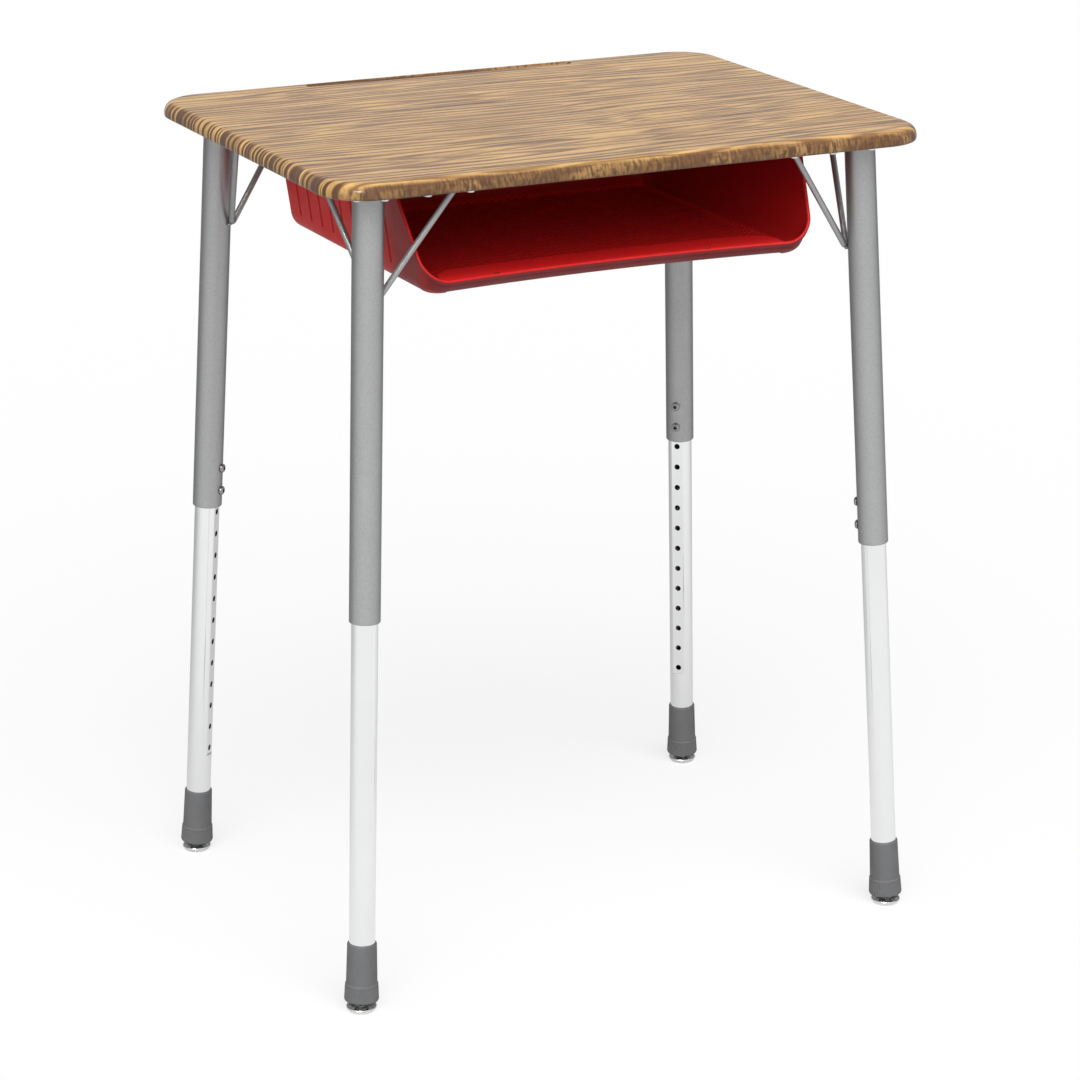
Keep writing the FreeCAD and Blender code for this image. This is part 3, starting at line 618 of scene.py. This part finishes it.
# %% Put the finishes on the solids
FINISHES = {
    "work_surface": wood,
    "book_box": box_plastic,
    "_mounting_plate": powder_coat,
    "_upper_leg_tube": powder_coat,
    "_leg_brace": powder_coat,
    "_leg_insert": chrome,
    "_foot_boot": boot_plastic,
    "_adjusting_screws": plain_steel,
    "_screws": zinc,
    "_ball_stud": zinc,
    "_glide_dish": zinc,
}


def dress(name, piece):
    finish = next(made for ending, made in FINISHES.items() if name.endswith(ending))
    piece.data.materials.clear()
    piece.data.materials.append(finish)
    return finish.name


dressed = [dress(name, piece) for name, piece in nodes.items()]
print("dressed:", {name: dressed.count(name) for name in sorted(set(dressed))})

# %% [markdown]
# The tubes and braces are welded to the mounting plates, and each brace to its tube. A weld is a soft bead
# with ripples where the metal froze. Round a tube or rod it is a ring, so a torus is the start. Every third
# row of its points is pushed out for the ripples, and it is cut flat where it meets the plate. Under the
# bend of the brace it is a short bead, which starts as a sphere. Four such shapes are joined to one piece
# at each corner.

# %% Welds
PLATE_UNDER = 0.8413
LEG_TOP = Vector((0.27432, 0.19812, PLATE_UNDER))
# A ring weld's radius and half its thickness.
TUBE_WELD = (0.0160, 0.0019)
ROD_WELD = (0.0036, 0.0012)
ROD_ENDS = (Vector((-0.086, 0.0125, 0)), Vector((0.0125, -0.086, 0)))
RING_ROWS = 72
RING_SIDES = 10
RING_RIPPLE = 0.25
BEAD_ROWS = 5
BEAD_RIPPLE = 0.12
BEAD_SIZE = Vector((0.0022, 0.0062, 0.0018))
BEAD_INWARD = 0.0099
BEAD_DROP = 0.1126
SMOOTH_ANGLE = math.radians(50)


def push_out(bead, chosen, amount):
    # Selects the points that the test picks and pushes them along their normals.
    bpy.ops.object.mode_set(mode="EDIT")
    bpy.ops.mesh.select_all(action="DESELECT")
    bpy.ops.object.mode_set(mode="OBJECT")
    for vertex in bead.data.vertices:
        vertex.select = chosen(vertex)
    bpy.ops.object.mode_set(mode="EDIT")
    bpy.ops.transform.shrink_fatten(value=amount)
    bpy.ops.object.mode_set(mode="OBJECT")


def ring_weld(place, radius, thick):
    bpy.ops.object.select_all(action="DESELECT")
    bpy.ops.mesh.primitive_torus_add(major_radius=radius, minor_radius=thick, location=place,
                                     major_segments=RING_ROWS, minor_segments=RING_SIDES)
    bead = bpy.context.object
    bpy.ops.object.transform_apply(location=True, rotation=True, scale=True)
    push_out(bead, lambda vertex: vertex.index // RING_SIDES % 3 == 0, thick * RING_RIPPLE)
    bpy.ops.object.mode_set(mode="EDIT")
    bpy.ops.mesh.select_all(action="SELECT")
    bpy.ops.mesh.bisect(plane_co=(0, 0, PLATE_UNDER), plane_no=(0, 0, 1), use_fill=True, clear_outer=True)
    bpy.ops.object.mode_set(mode="OBJECT")
    return bead


def bend_weld(place, turn):
    bpy.ops.object.select_all(action="DESELECT")
    bpy.ops.mesh.primitive_uv_sphere_add(segments=24, ring_count=16, radius=1, location=place,
                                         rotation=(0, 0, turn))
    bead = bpy.context.object
    bead.scale = BEAD_SIZE
    push_out(bead, lambda vertex: int(vertex.co.y * BEAD_ROWS + BEAD_ROWS) % 2 == 0, BEAD_RIPPLE)
    bpy.ops.object.transform_apply(location=True, rotation=True, scale=True)
    return bead


def corner_welds(name, sx, sy):
    side = Vector((sx, sy, 1))
    top = LEG_TOP * side
    beads = [ring_weld(top, *TUBE_WELD)]
    for end in ROD_ENDS:
        beads.append(ring_weld(top + end * side, *ROD_WELD))
    inward = Vector((-sx, -sy, 0)).normalized()
    bend = top + inward * BEAD_INWARD - Vector((0, 0, BEAD_DROP))
    beads.append(bend_weld(bend, math.atan2(-sy, -sx)))
    bpy.ops.object.select_all(action="DESELECT")
    for bead in beads:
        bead.select_set(True)
    bpy.context.view_layer.objects.active = beads[0]
    bpy.ops.object.join()
    welds = bpy.context.object
    welds.name = name
    bpy.ops.object.shade_smooth_by_angle(angle=SMOOTH_ANGLE)
    welds.data.materials.append(powder_coat)
    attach(welds, "desk_frame")
    return welds


CORNERS = {"front_left": (-1, -1), "front_right": (1, -1), "rear_left": (-1, 1), "rear_right": (1, 1)}
all_welds = [corner_welds(corner + "_welds", *signs) for corner, signs in CORNERS.items()]
print("welds:", {welds.name: len(welds.data.polygons) for welds in all_welds})

# %% [markdown]
# The studio is a pale floor that runs past the edges of every view, under a soft dome. The dome has one
# broad bright patch high in front and two weak ones, low in front and at the left, so round tubes turn
# darker towards both of their edges. The camera sees the dome as plain white. The floor is a dark grey that
# the camera, and mirrors, see lifted to white, so that little light comes up from below and the soft shadow
# still shows. Mirrors see the floor darker behind the desk than in front of it, which gives the chrome and
# the silver-grey paint their shape.

# %% Floor and dome
FLOOR_RADIUS = 40
FLOOR_GREY = (0.26, 0.26, 0.26, 1)
FLOOR_LIFT = 0.75
FLOOR_MIRROR_BACK = 0.2
FLOOR_MIRROR_FRONT = 0.8
FLOOR_MIRROR_SPAN = (-1.7, 0.7)
FLOOR_MIRROR_TURN = -5
DOME_LOW = 0.07
# Each patch of the dome: strength, azimuth and elevation in degrees, and the cosine at its rim.
DOME_PATCHES = ((4.8, -17, 46, 0.75), (0.7, -19, 8, 0.8), (0.9, -85, 15, 0.75))
MIRROR_BACK = 0.5
MIRROR_FRONT = 1.0
MIRROR_TOWARD = (-18, 36, -0.4)
MIRROR_LAMP = (22.0, -40, 35, 0.985)

bpy.ops.object.select_all(action="DESELECT")
bpy.ops.mesh.primitive_circle_add(vertices=64, radius=FLOOR_RADIUS, fill_type="NGON")
floor = bpy.context.object
floor.name = "floor"


def mirror_rays(tree, rays):
    # 1 for a ray that was mirrored or went through something clear.
    return maths(tree, "ADD", rays["Is Glossy Ray"], rays["Is Transmission Ray"], clamp=True)


def make_floor():
    material, tree, shader, coords = new_material("pale_floor")
    shader.inputs["Base Color"].default_value = FLOOR_GREY
    shader.inputs["Roughness"].default_value = 1.0
    shader.inputs["Specular IOR Level"].default_value = 0.0
    shader.inputs["Emission Color"].default_value = (1, 1, 1, 1)
    ahead = add(tree, "VectorMath", operation="DOT_PRODUCT")
    feed(tree, ahead.inputs[0], coords)
    ahead.inputs[1].default_value = direction(math.radians(FLOOR_MIRROR_TURN), 0)
    levels = (FLOOR_MIRROR_BACK, FLOOR_MIRROR_FRONT)
    mirror = between(tree, ahead.outputs["Value"], *FLOOR_MIRROR_SPAN, *levels)
    rays = add(tree, "LightPath").outputs
    lift = times(tree, mirror_rays(tree, rays), mirror)
    lift = maths(tree, "MULTIPLY_ADD", rays["Is Camera Ray"], FLOOR_LIFT, lift)
    feed(tree, shader.inputs["Emission Strength"], lift)
    return material


def dome_patch(tree, toward, strength, azimuth, elevation, rim):
    dot = add(tree, "VectorMath", operation="DOT_PRODUCT")
    feed(tree, dot.inputs[0], toward)
    dot.inputs[1].default_value = direction(math.radians(azimuth), math.radians(elevation))
    return between(tree, dot.outputs["Value"], rim, 1.0, 0.0, strength)


def make_dome():
    world = bpy.data.worlds.new("soft_dome")
    world.use_nodes = True
    tree = world.node_tree
    toward = add(tree, "TexCoord").outputs["Generated"]
    light = DOME_LOW
    for patch in DOME_PATCHES:
        light = maths(tree, "ADD", light, dome_patch(tree, toward, *patch))
    back_to_front = dome_patch(tree, toward, MIRROR_FRONT - MIRROR_BACK, *MIRROR_TOWARD)
    mirror = maths(tree, "ADD", back_to_front, MIRROR_BACK)
    mirror = maths(tree, "ADD", mirror, dome_patch(tree, toward, *MIRROR_LAMP))
    rays = add(tree, "LightPath").outputs
    strength = blend_values(tree, mirror_rays(tree, rays), light, mirror)
    sky = tree.nodes["Background"]
    sky.inputs["Color"].default_value = (1, 1, 1, 1)
    feed(tree, sky.inputs["Strength"], blend_values(tree, rays["Is Camera Ray"], strength, 1.0))
    return world


floor.data.materials.append(make_floor())
bpy.context.scene.world = make_dome()
print("stage ready")
